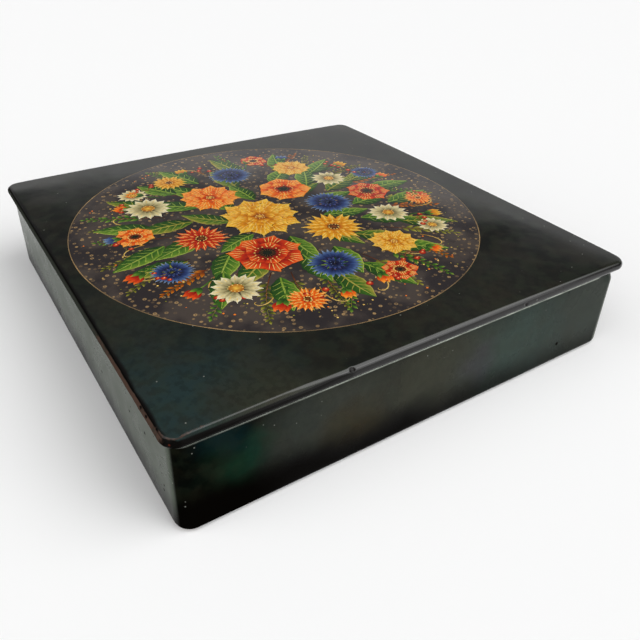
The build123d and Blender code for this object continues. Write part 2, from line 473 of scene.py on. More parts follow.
def add(tree, kind, links=None, **settings):
    """Add a node with its settings, and plug a value, a node or an output into each input in links."""
    made = tree.nodes.new(kind)
    for key, value in settings.items():
        setattr(made, key, value)
    for key, source in (links or {}).items():
        plug(tree, source, made.inputs[key])
    return made


def new_material(name):
    """A material, its node tree, its shader and its coordinates."""
    material = bpy.data.materials.new(name)
    material.use_nodes = True
    tree = material.node_tree
    place = add(tree, "ShaderNodeTexCoord").outputs["Object"]
    return material, tree, tree.nodes["Principled BSDF"], place


def per_mm(size):
    """Texture scale of a pattern whose step is this many millimetres."""
    return 1 / (size * MM)


def cover(tree, under, over, value, low, high, most=1.0):
    """Lay a colour over another: none of it where a value is low, a share of most where it is high."""
    share = add(
        tree, "ShaderNodeMapRange", {"Value": value, "From Min": low, "From Max": high, "To Max": most},
        interpolation_type="SMOOTHSTEP",
    )
    return add(tree, "ShaderNodeMix", {"Factor": share, 6: under, 7: over}, data_type="RGBA")


def drifting(tree, place, size, least, most):
    """A value that drifts between least and most in patches of about size mm."""
    patch = add(tree, "ShaderNodeTexNoise", {"Vector": place, "Scale": per_mm(size), "Detail": 4.0})
    return add(
        tree, "ShaderNodeMapRange",
        {"Value": patch, "From Min": 0.35, "From Max": 0.65, "To Min": least, "To Max": most},
        interpolation_type="SMOOTHSTEP",
    )


def specks(tree, place, spacing, size, share):
    """1 in round specks of about size mm, in a share of the cells of spacing mm, and 0 elsewhere."""
    cells = add(tree, "ShaderNodeTexVoronoi", {"Vector": place, "Scale": per_mm(spacing)})
    chance = add(tree, "ShaderNodeSeparateColor", {"Color": cells.outputs["Color"]})
    chosen = add(tree, "ShaderNodeMath", {0: chance, 1: share}, operation="LESS_THAN")
    radius = size / spacing / 2
    return add(
        tree, "ShaderNodeMapRange",
        {"Value": cells, "From Min": radius * 1.3, "From Max": radius * 0.6, "To Max": chosen},
    )


def coat(tree, shader, colour, rough, height, depth):
    """Give a shader its colour, its roughness and a relief of depth mm from a height."""
    relief = add(tree, "ShaderNodeBump", {"Height": height, "Strength": 0.4, "Distance": depth * MM})
    plug(tree, colour, shader.inputs["Base Color"])
    plug(tree, rough, shader.inputs["Roughness"])
    plug(tree, relief, shader.inputs["Normal"])


LACQUER_IOR = 1.5
CLOUD_DRIFT = 26 * MM
# Mottle in the lacquer: size in mm, tone, share
MOTTLE = ((2.5, "#0a0f0c", 0.3), (6, "#2a3224", 0.22), (11, "#2b2418", 0.2))
BARE_BOARD = linear("#46362e")
BROKEN_BOARD = linear("#0d0a09")
DUST = linear("#8d9088")


def lacquer_ground(tree, place, deep, pale, clouds=(), mottle=1.0):
    """Colour of layered black lacquer: two tones, and soft clouds of tone that are partly the coats' own
    colour and partly painted reflection.
    A cloud has a place and a reach in mm and a tone."""
    colour = cover(tree, linear(deep), linear(pale), drifting(tree, place, 45, 0.0, 1.0), 0.0, 1.0)
    drift = add(tree, "ShaderNodeTexNoise", {"Vector": place, "Scale": per_mm(22), "Detail": 4.0})
    centred = add(
        tree, "ShaderNodeVectorMath", {0: drift.outputs["Color"], 1: (0.5, 0.5, 0.5)}, operation="SUBTRACT"
    )
    blown = add(
        tree, "ShaderNodeVectorMath", {0: centred, 1: (CLOUD_DRIFT,) * 3, 2: place},
        operation="MULTIPLY_ADD",
    )
    # Each cloud is partly lacquer tone and partly painted reflection
    for spot, reach, tone in clouds:
        away = add(tree, "ShaderNodeVectorMath", {0: blown, 1: Vector(spot) * MM}, operation="DISTANCE")
        colour = cover(tree, colour, linear(tone), away, reach * MM, 0.1 * reach * MM)
    for size, tone, share in MOTTLE:
        patch = drifting(tree, place, size, 0.0, 1.0)
        colour = cover(tree, colour, linear(tone), patch, 0.2, 1.0, share * mottle)
    return colour


def worn_through(tree, place, colour, size):
    """Lay the bare board over a lacquer's colour where the piece is worn, with an edge torn at size mm."""
    wear = add(tree, "ShaderNodeAttribute", attribute_name="wear").outputs["Fac"]
    scuff = add(tree, "ShaderNodeTexNoise", {"Vector": place, "Scale": per_mm(size), "Detail": 3.0})
    torn = add(tree, "ShaderNodeMath", {0: wear, 1: scuff}, operation="ADD")
    return cover(tree, colour, BARE_BOARD, torn, 0.75, 1.15), wear


# The painted round on the lid
GROUND_CENTRE = Vector((-2, -5)) * MM
GROUND_RADIUS = 85.5 * MM

SIDE_PAINTED_SHADE = linear("#0b0a09")
FRONT_SIDE_PAINTED_SHEEN = linear("#2e302b")
RED_UNDERCOAT = linear("#4a1e14")
PLUM_DEEP, PLUM_PALE, OCHRE = linear("#2b2627"), linear("#453d38"), linear("#a5865a")
BRIM_WAVER = 0.8 * MM
BRIM_EDGE = 0.7 * MM
RED_FLECK = (98.6, -95.2, 38.2)
FLECK_REACH = (0.45 * MM, 0.15 * MM)
# Where the lid's finish changes, each from none of it to all of it. The corner is measured by the way
# across less the way back. The sides, the front strip and the near corner are painted darker as painted
# shade, and the front side is painted paler as painted reflection
SIDE_HEIGHTS = (RIM_Z + 3.3 * MM, RIM_Z + 2.6 * MM)
RIGHT_SIDE = (LID_HALF_X - 0.9 * MM, LID_HALF_X - 0.4 * MM)
STRIP_WAVER = 3 * MM
FRONT_STRIP = (-LID_HALF_Y + 4 * MM, -LID_HALF_Y + 2.8 * MM)
FRONT_SIDE = (-LID_HALF_Y + 0.7 * MM, -LID_HALF_Y + 0.2 * MM)
NEAR_CORNER = (LID_HALF_X + LID_HALF_Y - 5 * MM, LID_HALF_X + LID_HALF_Y - 4.2 * MM)
# Gloss of the lid, which is lost on the front side and past the crest of the right edge. The crest runs
# out to the side along CREST_RUN, and the side keeps more gloss along SIDE_RUN
LID_SHINE = (0.0, 0.5)
SHINE_FRONT = (-LID_HALF_Y + 0.8 * MM, -LID_HALF_Y + 1.6 * MM)
CREST_RUN = (-60 * MM, -36 * MM)
CREST_PLACE = (LID_HALF_X - 1.45 * MM, LID_HALF_X - 0.1 * MM)
PAST_CREST = (0.2 * MM, -0.1 * MM)
SIDE_RUN = (-85 * MM, -30 * MM)
SIDE_SHINE = (0.03, 0.3)
CHIP_DULL = (0.5, 0.1)
# Clouds on the lid, partly lacquer tone and partly painted reflection: place and reach in mm, tone
LID_CLOUDS_AND_PAINTED_SHEEN = (
    ((97, 20, 41), 70, "#20201b"),
    ((40, -88, 41), 46, "#1f221d"),
    ((90, -86, 41), 54, "#203030"),
    ((97, -64, 41), 26, "#2b2d24"),
)


def polished_black_lacquer():
    """Lid: many coats of baked oil lacquer, polished. Deep black with a green cast and clouds that are
    partly painted reflection, a clear gloss with faint haze and dust, sides dulled by hands, most of all in
    front, painted shade on the sides and the near corner, a front side painted paler as painted reflection,
    brown board at the rubbed edge with a fleck of red undercoat, and a plum-brown round with ochre touches
    that the bouquet is painted on."""
    material, tree, shader, place = new_material("polished_black_oil_lacquer")
    axes = add(tree, "ShaderNodeSeparateXYZ", {"Vector": place})
    across, depth, height = (axes.outputs[axis] for axis in "XYZ")
    waver = add(tree, "ShaderNodeTexNoise", {"Vector": place, "Scale": per_mm(14)})
    strip = add(tree, "ShaderNodeMath", {0: waver, 1: STRIP_WAVER, 2: depth}, operation="MULTIPLY_ADD")
    # The lid's clouds paint part of its reflection into the colour
    colour = lacquer_ground(tree, place, "#0a0c09", "#141612", LID_CLOUDS_AND_PAINTED_SHEEN)
    to_corner = add(tree, "ShaderNodeMath", {0: across, 1: depth}, operation="SUBTRACT")
    # Painted shade darkens the sides, the front strip and the near corner; painted reflection makes the
    # front side paler
    sides = (
        (height, SIDE_HEIGHTS, SIDE_PAINTED_SHADE),
        (across, RIGHT_SIDE, SIDE_PAINTED_SHADE),
        (strip, FRONT_STRIP, SIDE_PAINTED_SHADE),
        (depth, FRONT_SIDE, FRONT_SIDE_PAINTED_SHEEN),
        (to_corner, NEAR_CORNER, SIDE_PAINTED_SHADE),
    )
    for value, band, tone in sides:
        colour = cover(tree, colour, tone, value, *band)

    flat = add(tree, "ShaderNodeCombineXYZ", {"X": across, "Y": depth})
    reach = add(tree, "ShaderNodeVectorMath", {0: flat, 1: GROUND_CENTRE.to_3d()}, operation="DISTANCE")
    brim = add(tree, "ShaderNodeMath", {0: waver, 1: BRIM_WAVER, 2: reach}, operation="MULTIPLY_ADD")
    plum = cover(tree, PLUM_DEEP, PLUM_PALE, drifting(tree, place, 16, 0.0, 1.0), 0.0, 1.0)
    cells = add(tree, "ShaderNodeTexVoronoi", {"Vector": place, "Scale": per_mm(2.5)})
    from_curl = add(tree, "ShaderNodeMath", {0: cells, 1: 0.2}, operation="SUBTRACT")
    curl = add(tree, "ShaderNodeMath", {0: from_curl}, operation="ABSOLUTE")
    chance = add(tree, "ShaderNodeSeparateColor", {"Color": cells.outputs["Color"]})
    plum = cover(tree, plum, OCHRE, curl, 0.14, 0.02, chance)
    colour = cover(tree, colour, plum, brim, GROUND_RADIUS + BRIM_EDGE, GROUND_RADIUS)

    colour, wear = worn_through(tree, place, colour, 1.6)
    chip = add(tree, "ShaderNodeAttribute", attribute_name="chip").outputs["Fac"]
    colour = cover(tree, colour, BROKEN_BOARD, chip, 0.2, 0.6)
    fleck = Vector(RED_FLECK) * MM
    from_fleck = add(tree, "ShaderNodeVectorMath", {0: place, 1: fleck}, operation="DISTANCE")
    colour = cover(tree, colour, RED_UNDERCOAT, from_fleck, *FLECK_REACH)
    colour = cover(tree, colour, DUST, specks(tree, place, 2.5, 0.5, 0.08), 0.0, 1.0, 0.6)

    gloss = drifting(tree, place, 22, 0.07, 0.15)
    rough = add(tree, "ShaderNodeMath", {0: wear, 1: 0.4, 2: gloss}, operation="MULTIPLY_ADD")
    peel = add(tree, "ShaderNodeTexNoise", {"Vector": place, "Scale": per_mm(9), "Detail": 3.0})
    coat(tree, shader, colour, rough, peel, 0.04)
    runs = []
    for (low, high), (near, far) in (
        (SHINE_FRONT, LID_SHINE), (CREST_RUN, CREST_PLACE), (SIDE_RUN, SIDE_SHINE),
    ):
        runs.append(add(
            tree, "ShaderNodeMapRange",
            {"Value": depth, "From Min": low, "From Max": high, "To Min": near, "To Max": far},
        ))
    shine, crest, side_shine = runs
    past_crest = add(tree, "ShaderNodeMath", {0: across, 1: crest}, operation="SUBTRACT")
    dulled = ((past_crest, PAST_CREST), (to_corner, NEAR_CORNER[::-1]), (chip, CHIP_DULL))
    for value, (dull, bright) in dulled:
        kept = add(
            tree, "ShaderNodeMapRange",
            {"Value": value, "From Min": dull, "From Max": bright, "To Min": side_shine},
        )
        shine = add(tree, "ShaderNodeMath", {0: shine, 1: kept}, operation="MULTIPLY")
    plug(tree, shine, shader.inputs["Specular IOR Level"])
    shader.inputs["IOR"].default_value = LACQUER_IOR
    return material


# Pits in the wall's lacquer: place in mm and radius
WALL_PITS = (
    ((98.6, 66, 9.6), 1.0),
    ((-31, -95.6, 7.6), 0.7),
    ((30.5, -95.5, 15.9), 0.7),
    ((61.1, -95.4, 21.1), 0.6),
    ((75.5, -95.3, 23.4), 0.7),
    ((87.7, -95.6, 10.6), 0.6),
    ((88.5, -95.5, 13.2), 0.5),
)
# Clouds on the wall, partly lacquer tone and partly painted reflection: place and reach in mm, tone
WALL_CLOUDS_AND_PAINTED_SHEEN = (
    ((98.6, 82, 22), 56, "#272e28"),
    ((98.6, 34, 20), 44, "#2c3a34"),
    ((98.6, 21, 18), 14, "#34353d"),
    ((98.6, -2, 24), 40, "#2f3026"),
    ((98.6, -40, 24), 30, "#2f312a"),
    ((98.6, -56, 24), 24, "#262a25"),
    ((98.6, -34, 9), 20, "#2b2616"),
    ((98.6, -77, 21), 16, "#11271b"),
    ((98.6, -70, 24), 10, "#122a21"),
    ((98.6, -80, 33), 12, "#0b1b1d"),
)
FRONT_FACE_PAINTED_SHEEN = linear("#3d4539")
FOOT_PAINTED_SHADE = linear("#050403")
RIM_PAINTED_HIGHLIGHT = linear("#c2c9bd")
BACK_CORNER_PAINTED_HIGHLIGHT = linear("#6f756c")
# Where the wall's finish changes, each from none of it to all of it. The front is measured square to the
# flared wall, and the back corner by the way across and the way back together
WALL_FRONT = -RIM_HALF_Y - WALL_FLARE
FRONT_FACE = (WALL_FRONT + 0.9 * MM, WALL_FRONT + 0.3 * MM)
FOOT_SHADE_HEIGHTS = (8 * MM, -4 * MM)
FOOT_WAVER = 14 * MM
FOOT_SHADE_RUN = (-10 * MM, 60 * MM)
FOOT_SHADE_SHARES = (1.0, 0.5)
CLIMB_RUN = (-55 * MM, 0.0)
CLIMB_HEIGHTS = (5 * MM, 0.0)
CLIMB_SIDE = (RIM_HALF_X - 2.1 * MM, RIM_HALF_X - 0.6 * MM)
RIM_HIGHLIGHT_RUN = (-80 * MM, 0.0)
RIM_HIGHLIGHT_SHARES = (0.35, 1.0)
RIM_HIGHLIGHT_BAND = (1.6 * MM, 1.1 * MM)
RIM_HIGHLIGHT_OUTSIDE = (0.1 * MM, 0.3 * MM)
BACK_CORNER_HIGHLIGHT_BAND = (RIM_HALF_X + RIM_HALF_Y - 4.6 * MM, RIM_HALF_X + RIM_HALF_Y - 3 * MM)
# Gloss of the wall: the right side from its near end on, the front, and less of it along the foot
RIGHT_GLOSS = (-74 * MM, -52 * MM, 0.06)
FRONT_GLOSS = (WALL_FRONT + MM, WALL_FRONT + 0.1 * MM, 0.12)
FOOT_GLOSS = (-6 * MM, 7 * MM, 0.2)


def satin_black_lacquer():
    """Wall: the same lacquer, rubbed down less and dulled by handling. Satin black with green and brown
    clouds that are partly painted reflection, a front face painted paler as painted reflection, painted
    shade along the foot, fine pits and dust, a painted highlight along the rim and on the back corner, and
    brown board at the foot."""
    material, tree, shader, place = new_material("satin_black_oil_lacquer")
    axes = add(tree, "ShaderNodeSeparateXYZ", {"Vector": place})
    across, depth, height = (axes.outputs[axis] for axis in "XYZ")
    front = add(
        tree, "ShaderNodeMath", {0: height, 1: -WALL_FLARE / RIM_Z, 2: depth}, operation="MULTIPLY_ADD"
    )
    # The wall's clouds paint part of its reflection into the colour
    colour = lacquer_ground(tree, place, "#030403", "#060806", WALL_CLOUDS_AND_PAINTED_SHEEN, 0.5)
    # The front face is painted paler, as painted reflection
    colour = cover(tree, colour, FRONT_FACE_PAINTED_SHEEN, front, *FRONT_FACE)
    waver = add(tree, "ShaderNodeTexNoise", {"Vector": place, "Scale": per_mm(30), "Detail": 3.0})
    runs = []
    for (low, high), (near, far) in (
        (CLIMB_RUN, CLIMB_HEIGHTS), (FOOT_SHADE_RUN, FOOT_SHADE_SHARES), (RIM_HIGHLIGHT_RUN, RIM_HIGHLIGHT_SHARES),
    ):
        runs.append(add(
            tree, "ShaderNodeMapRange",
            {"Value": depth, "From Min": low, "From Max": high, "To Min": near, "To Max": far},
        ))
    climb, foot_shade, rim_highlight = runs
    # The painted shade at the foot climbs towards the near end of the right side
    climb = add(
        tree, "ShaderNodeMapRange",
        {"Value": across, "From Min": CLIMB_SIDE[0], "From Max": CLIMB_SIDE[1], "To Max": climb},
    )
    above = add(tree, "ShaderNodeMath", {0: height, 1: climb}, operation="SUBTRACT")
    foot = add(tree, "ShaderNodeMath", {0: waver, 1: -FOOT_WAVER, 2: above}, operation="MULTIPLY_ADD")
    # Painted shade: the wall is darker towards its foot
    colour = cover(tree, colour, FOOT_PAINTED_SHADE, foot, *FOOT_SHADE_HEIGHTS, foot_shade)
    colour, _ = worn_through(tree, place, colour, 2.2)
    # Painted highlight: a pale line along the rim's outer round, patchy along its length
    patchy = drifting(tree, place, 9, 0.5, 1.0)
    rim_highlight = add(tree, "ShaderNodeMath", {0: patchy, 1: rim_highlight}, operation="MULTIPLY")
    below_rim = add(tree, "ShaderNodeMath", {0: RIM_Z, 1: height}, operation="SUBTRACT")
    outer_round = add(
        tree, "ShaderNodeMapRange",
        {"Value": below_rim, "From Min": RIM_HIGHLIGHT_OUTSIDE[0], "From Max": RIM_HIGHLIGHT_OUTSIDE[1], "To Max": rim_highlight},
    )
    colour = cover(tree, colour, RIM_PAINTED_HIGHLIGHT, below_rim, *RIM_HIGHLIGHT_BAND, outer_round)
    to_corner = add(tree, "ShaderNodeMath", {0: across, 1: depth}, operation="ADD")
    # Painted highlight: a pale strip down the back right corner
    colour = cover(tree, colour, BACK_CORNER_PAINTED_HIGHLIGHT, to_corner, *BACK_CORNER_HIGHLIGHT_BAND, most=0.7)
    pits = specks(tree, place, 3.0, 0.5, 0.22)
    for spot, radius in WALL_PITS:
        away = add(tree, "ShaderNodeVectorMath", {0: place, 1: Vector(spot) * MM}, operation="DISTANCE")
        pit = add(
            tree, "ShaderNodeMapRange",
            {"Value": away, "From Min": radius * MM, "From Max": 0.5 * radius * MM},
        )
        pits = add(tree, "ShaderNodeMath", {0: pits, 1: pit}, operation="MAXIMUM")
    colour = cover(tree, colour, BROKEN_BOARD, pits, 0.0, 1.0)
    colour = cover(tree, colour, DUST, specks(tree, place, 2.5, 0.5, 0.25), 0.0, 1.0, 0.5)

    haze = drifting(tree, place, 12, 0.26, 0.32)
    rough = add(tree, "ShaderNodeMath", {0: pits, 1: 0.4, 2: haze}, operation="MULTIPLY_ADD")
    grain = add(tree, "ShaderNodeTexNoise", {"Vector": place, "Scale": per_mm(1.4), "Detail": 3.0})
    sunk = add(tree, "ShaderNodeMath", {0: pits, 1: -4.0, 2: grain}, operation="MULTIPLY_ADD")
    coat(tree, shader, colour, rough, sunk, 0.015)

    shine = 0.0
    for value, (low, high, level) in ((depth, RIGHT_GLOSS), (front, FRONT_GLOSS)):
        kept = add(
            tree, "ShaderNodeMapRange", {"Value": value, "From Min": low, "From Max": high, "To Max": level},
            interpolation_type="SMOOTHSTEP",
        )
        shine = add(tree, "ShaderNodeMath", {0: shine, 1: kept}, operation="MAXIMUM")
    low, high, least = FOOT_GLOSS
    off_foot = add(
        tree, "ShaderNodeMapRange", {"Value": foot, "From Min": low, "From Max": high, "To Min": least}
    )
    clear = add(tree, "ShaderNodeMath", {0: 1.0, 1: pits}, operation="SUBTRACT")
    for kept in (off_foot, clear):
        shine = add(tree, "ShaderNodeMath", {0: shine, 1: kept}, operation="MULTIPLY")
    plug(tree, shine, shader.inputs["Specular IOR Level"])
    shader.inputs["IOR"].default_value = LACQUER_IOR
    return material


RED_DEEP, RED_PALE, RED_AGED = linear("#7b1a12"), linear("#8c2216"), linear("#5e130e")


def red_lacquer():
    """Inside: cinnabar red oil lacquer, brushed on and left unpolished. Warm red with brush streaks,
    darker where it has aged."""
    material, tree, shader, place = new_material("brushed_red_oil_lacquer")
    colour = cover(tree, RED_DEEP, RED_PALE, drifting(tree, place, 30, 0.0, 1.0), 0.0, 1.0)
    stretched = add(tree, "ShaderNodeMapping", {"Vector": place, "Scale": (0.06, 1.0, 1.0)})
    brush = add(tree, "ShaderNodeTexNoise", {"Vector": stretched, "Scale": per_mm(1.5), "Detail": 4.0})
    colour = cover(tree, colour, RED_AGED, brush, 0.5, 0.8, 0.35)
    coat(tree, shader, colour, drifting(tree, stretched, 1.5, 0.22, 0.34), brush, 0.03)
    shader.inputs["IOR"].default_value = LACQUER_IOR
    return material


def bottom_board_lacquer():
    """Bottom board: red lacquer on the face inside the box, and on the underside black lacquer that
    is scuffed by standing on tables."""
    material, tree, shader, place = new_material("bottom_board_oil_lacquer")
    height = add(tree, "ShaderNodeSeparateXYZ", {"Vector": place}).outputs["Z"]
    red = cover(tree, RED_DEEP, RED_PALE, drifting(tree, place, 30, 0.0, 1.0), 0.0, 1.0)
    black = lacquer_ground(tree, place, "#060908", "#131b18")
    streaks = add(
        tree, "ShaderNodeMapping", {"Vector": place, "Scale": (0.1, 1.0, 1.0), "Rotation": (0, 0, 0.5)}
    )
    scuff = add(tree, "ShaderNodeTexNoise", {"Vector": streaks, "Scale": per_mm(1.2), "Detail": 5.0})
    black = cover(tree, black, linear("#3b3a34"), scuff, 0.55, 0.8, 0.6)
    colour = cover(tree, black, red, height, 0.4 * FLOOR_TOP_Z, 0.6 * FLOOR_TOP_Z)
    coat(tree, shader, colour, drifting(tree, streaks, 1.2, 0.26, 0.46), scuff, 0.03)
    shader.inputs["IOR"].default_value = LACQUER_IOR
    return material


def aged_brass(name, pale, dark):
    """Hinges, pins and nails: drawn brass sheet and wire, browned by age, brighter where it rubs."""
    material, tree, shader, place = new_material(name)
    colour = cover(tree, linear(pale), linear(dark), drifting(tree, place, 4, 0.0, 1.0), 0.0, 1.0)
    drawn = add(tree, "ShaderNodeMapping", {"Vector": place, "Scale": (0.08, 1.0, 1.0)})
    # Drawing lines are finer than a pixel, so they are drawn coarser
    lines = add(tree, "ShaderNodeTexNoise", {"Vector": drawn, "Scale": per_mm(0.4), "Detail": 3.0})
    coat(tree, shader, colour, drifting(tree, place, 4, 0.24, 0.44), lines, 0.02)
    shader.inputs["Metallic"].default_value = 1.0
    return material


def tempera_under_lacquer():
    """Painting: egg tempera and gold powder under clear lacquer. Colours from the brushwork, thinner
    and darker in places, under the lid's own gloss."""
    material, tree, shader, place = new_material("tempera_under_clear_lacquer")
    paint = add(tree, "ShaderNodeAttribute", attribute_name="paint").outputs["Color"]
    thin = drifting(tree, place, 1.3, 0.0, 0.3)
    colour = add(
        tree, "ShaderNodeMix", {"Factor": thin, 6: paint, 7: linear("#7a6a5c")},
        data_type="RGBA", blend_type="MULTIPLY",
    )
    coat(tree, shader, colour, drifting(tree, place, 22, 0.08, 0.16), thin, 0.01)
    shader.inputs["IOR"].default_value = LACQUER_IOR
    return material


# Painting: a bouquet in a round, in thin films of paint on the lid

# Places and lifts are in mm from the middle of the round, up is +Y
RING_RADIUS = 85.7
# How far a film goes down into the lid, and how far a stroke lies over its neighbour and a ring of petals
# over the last
FILM_ROOT = 0.01 * MM
SHINGLE = 0.002
PETAL_LAYER = 0.007

GREENS = ("#0e1f0d", "#1e4016", "#3d681c", "#73922c", "#bcc060")
OLIVES = ("#2a3014", "#585c1a", "#8f8a30", "#c6b65c")
GOLDS = ("#6a2a06", "#b8640a", "#d98c14", "#eaae2a", "#f2cc5c")
ORANGES = ("#5c1006", "#b8300a", "#e85e10", "#f58a22", "#f8bc50")
REDS = ("#300604", "#821208", "#bc2a0c", "#e04c14", "#f08a34")
BLUES = ("#0b0f28", "#18224a", "#2c4276", "#567099", "#9cb0c4")
CREAMS = ("#7a6f48", "#c4b784", "#e6dbb0", "#f5eed4")
PALE_GOLD = ("#e8b84a", "#f8e2a0")
RING_GOLDS = ("#a8895e", "#6f5c44", "#a8895e")
CURL_GOLDS = ("#a87828", "#e3c26c", "#c89a3c")
BROWNS = ("#3a1c0e", "#6a3a1c", "#94602c")
BERRY_REDS = ("#e8783c", "#c03018", "#6e120c")


def shade(tones, share):
    """Colour along a row of hex tones, from the first at 0 to the last at 1, as sRGB channels."""
    place = min(max(share, 0.0), 0.9999) * (len(tones) - 1)
    first = int(place)
    pair = [[int(tones[first + k][c:c + 2], 16) / 255 for c in (1, 3, 5)] for k in (0, 1)]
    return [a + (b - a) * (place - first) for a, b in zip(*pair)]


def heading_of(turn):
    """Unit vector at a turn in degrees, from +X towards +Y."""
    return Vector((math.cos(math.radians(turn)), math.sin(math.radians(turn))))


class Brushwork:
    """Paint films of one piece: each is a thin plate on the lid with a colour at every point."""

    def __init__(self):
        self.vertices = []
        self.faces = []
        self.colours = []

    def lay(self, places, colours, faces, rim):
        """Add one film. A place is x, y and lift in mm, and rim is the loop of points round its edge."""
        first = len(self.vertices)
        for x, y, lift in places:
            spot = GROUND_CENTRE + Vector((x, y)) * MM
            self.vertices.append((spot.x, spot.y, top_z(spot.x, spot.y) + lift * MM))
        foot = len(self.vertices)
        for k in rim:
            x, y, _ = self.vertices[first + k]
            self.vertices.append((x, y, top_z(x, y) - FILM_ROOT))
        self.faces += [tuple(first + k for k in face) for face in faces]
        for k in range(len(rim)):
            after = (k + 1) % len(rim)
            self.faces.append((first + rim[k], foot + k, foot + after, first + rim[after]))
        self.faces.append(tuple(foot + k for k in reversed(range(len(rim)))))
        self.colours += [linear(colour) for colour in colours]
        self.colours += [linear(colours[k]) for k in rim]

    def lay_grid(self, rows):
        """Add a film from rows along the stroke, each of x, y, lift and colour from right to left."""
        count, width = len(rows), len(rows[0])
        cells = [point for row in rows for point in row]
        faces = []
        for i in range(count - 1):
            for j in range(width - 1):
                low = i * width + j
                faces.append((low, low + width, low + width + 1, low + 1))
        rim = [i * width for i in range(count)]
        rim += [(count - 1) * width + j for j in range(1, width)]
        rim += [i * width + width - 1 for i in reversed(range(count - 1))]
        rim += list(range(width - 2, 0, -1))
        self.lay([cell[:3] for cell in cells], [cell[3] for cell in cells], faces, rim)

    def make(self, name, paint):
        """The piece with all films laid so far, which rides on the lid."""
        piece = new_piece(name, self.vertices, self.faces, "lid")
        layer = piece.data.attributes.new("paint", "FLOAT_COLOR", "POINT")
        layer.data.foreach_set("color", [channel for colour in self.colours for channel in colour])
        smooth(piece)
        piece.data.materials.append(paint)
        return piece


def petal(work, root, turn, length, width, tones, lift, crest=1.8, rows=8, columns=7, ragged=0.0):
    """One petal from root outwards: tones run to the tip in streaks, one edge lies under its neighbour."""
    ahead = heading_of(turn)
    aside = heading_of(turn + 90)
    streaks = [random.uniform(-0.09, 0.09) for _ in range(columns)]
    tips = [random.uniform(-ragged, ragged) for _ in range(columns)]
    grid = []
    for i in range(rows):
        share = i / (rows - 1)
        half = width / 2 * max(math.sin(math.pi * share ** crest) ** 0.7, 0.12)
        row = []
        for j in range(columns):
            side = 2 * j / (columns - 1) - 1
            along = length * (share + tips[j] * share ** 4 - 0.12 * side * side * share)
            spot = root + ahead * along + aside * (half * side)
            tone = shade(tones, 0.02 + 0.95 * share ** 1.3 + streaks[j] - 0.16 * abs(side) ** 3)
            row.append((spot.x, spot.y, lift + SHINGLE * side, tone))
        grid.append(row)
    work.lay_grid(grid)


def line(work, spots, width, tones, lift, start=0.35, end=0.2):
    """A brush line through spots, fullest before its middle, start and end as shares of its width."""
    rows = []
    last = len(spots) - 1
    for k, spot in enumerate(spots):
        along = (spots[min(k + 1, last)] - spots[max(k - 1, 0)]).normalized()
        aside = Vector((-along.y, along.x))
        share = k / last
        swell = ease(0.0, 0.35, share) * (1 - start) + start
        swell = min(swell, end + (1 - end) * ease(1.0, 0.4, share))
        colour = shade(tones, share)
        right = spot - aside * (width / 2 * swell)
        left = spot + aside * (width / 2 * swell)
        rows.append([(right.x, right.y, lift, colour), (left.x, left.y, lift, colour)])
    work.lay_grid(rows)


def bow(start, middle, end, steps=9):
    """Spots on a curve that leaves start towards middle and comes from there to end."""
    spots = []
    for k in range(steps):
        t = k / (steps - 1)
        spots.append(start * (1 - t) ** 2 + middle * (2 * t * (1 - t)) + end * t ** 2)
    return spots


def dab(work, centre, radius, tones, lift, spokes=9):
    """A round touch of the brush, shaded from its middle, first tone, to its edge, last tone."""
    places = [(centre.x, centre.y, lift)]
    colours = [shade(tones, 0.0)]
    faces = []
    for ring in (1, 2):
        for k in range(spokes):
            spot = centre + heading_of(360 * k / spokes) * (radius * ring / 2)
            places.append((spot.x, spot.y, lift))
            colours.append(shade(tones, ring / 2))
    for k in range(spokes):
        after = (k + 1) % spokes
        faces.append((0, 1 + k, 1 + after))
        faces.append((1 + k, 1 + spokes + k, 1 + spokes + after, 1 + after))
    work.lay(places, colours, faces, [1 + spokes + k for k in range(spokes)])


def petal_ring(
    work, centre, count, reach, width, tones, lift, turn, hairs=0, crest=1.8, start=0.08, ragged=0.05
):
    """A ring of petals round a flower's heart, with fine pale hairlines on each."""
    for k in range(count):
        heading = turn + 360 * k / count + random.uniform(-4, 4)
        length = reach * random.uniform(0.93, 1.05)
        root = centre + heading_of(heading) * (reach * start)
        petal(work, root, heading, length - reach * start, width, tones, lift, crest=crest, ragged=ragged)
        for hair in range(hairs):
            side = (hair + 0.5) / hairs * 2 - 1
            aim = heading + side * 0.34 * math.degrees(width / reach)
            inner = centre + heading_of(aim) * (length * random.uniform(0.55, 0.66))
            outer = centre + heading_of(aim + side * 4) * (length * (0.94 - 0.12 * abs(side)))
            line(work, bow(inner, (inner + outer) / 2, outer, 4), 0.34, PALE_GOLD, lift + 2 * SHINGLE)


def heart(work, centre, radius, tones, lift, dots):
    """A flower's heart: a dark round with a wreath of small bright touches."""
    dab(work, centre, radius, tones, lift, 14)
    for k in range(dots):
        turn = 360 * k / dots + random.uniform(-8, 8)
        spot = centre + heading_of(turn) * (radius * random.uniform(0.75, 1.1))
        dab(work, spot, max(0.34, 0.11 * radius), PALE_GOLD[::-1], lift + SHINGLE, 6)


def peony(work, centre, radius, tones, lift, turn):
    """A full flower of four rings of petals, lighter towards its middle."""
    rings = ((11, 1.0, 0.6, 4), (9, 0.8, 0.54, 4), (7, 0.58, 0.46, 3), (5, 0.36, 0.34, 2))
    for index, (count, reach, width, hairs) in enumerate(rings):
        petal_ring(
            work, centre, count, radius * reach, radius * width, tones, lift + PETAL_LAYER * index,
            turn + 19 * index, hairs,
        )
    heart(work, centre, radius * 0.12, ("#f3c84e", "#8a3410"), lift + 0.03, 9)


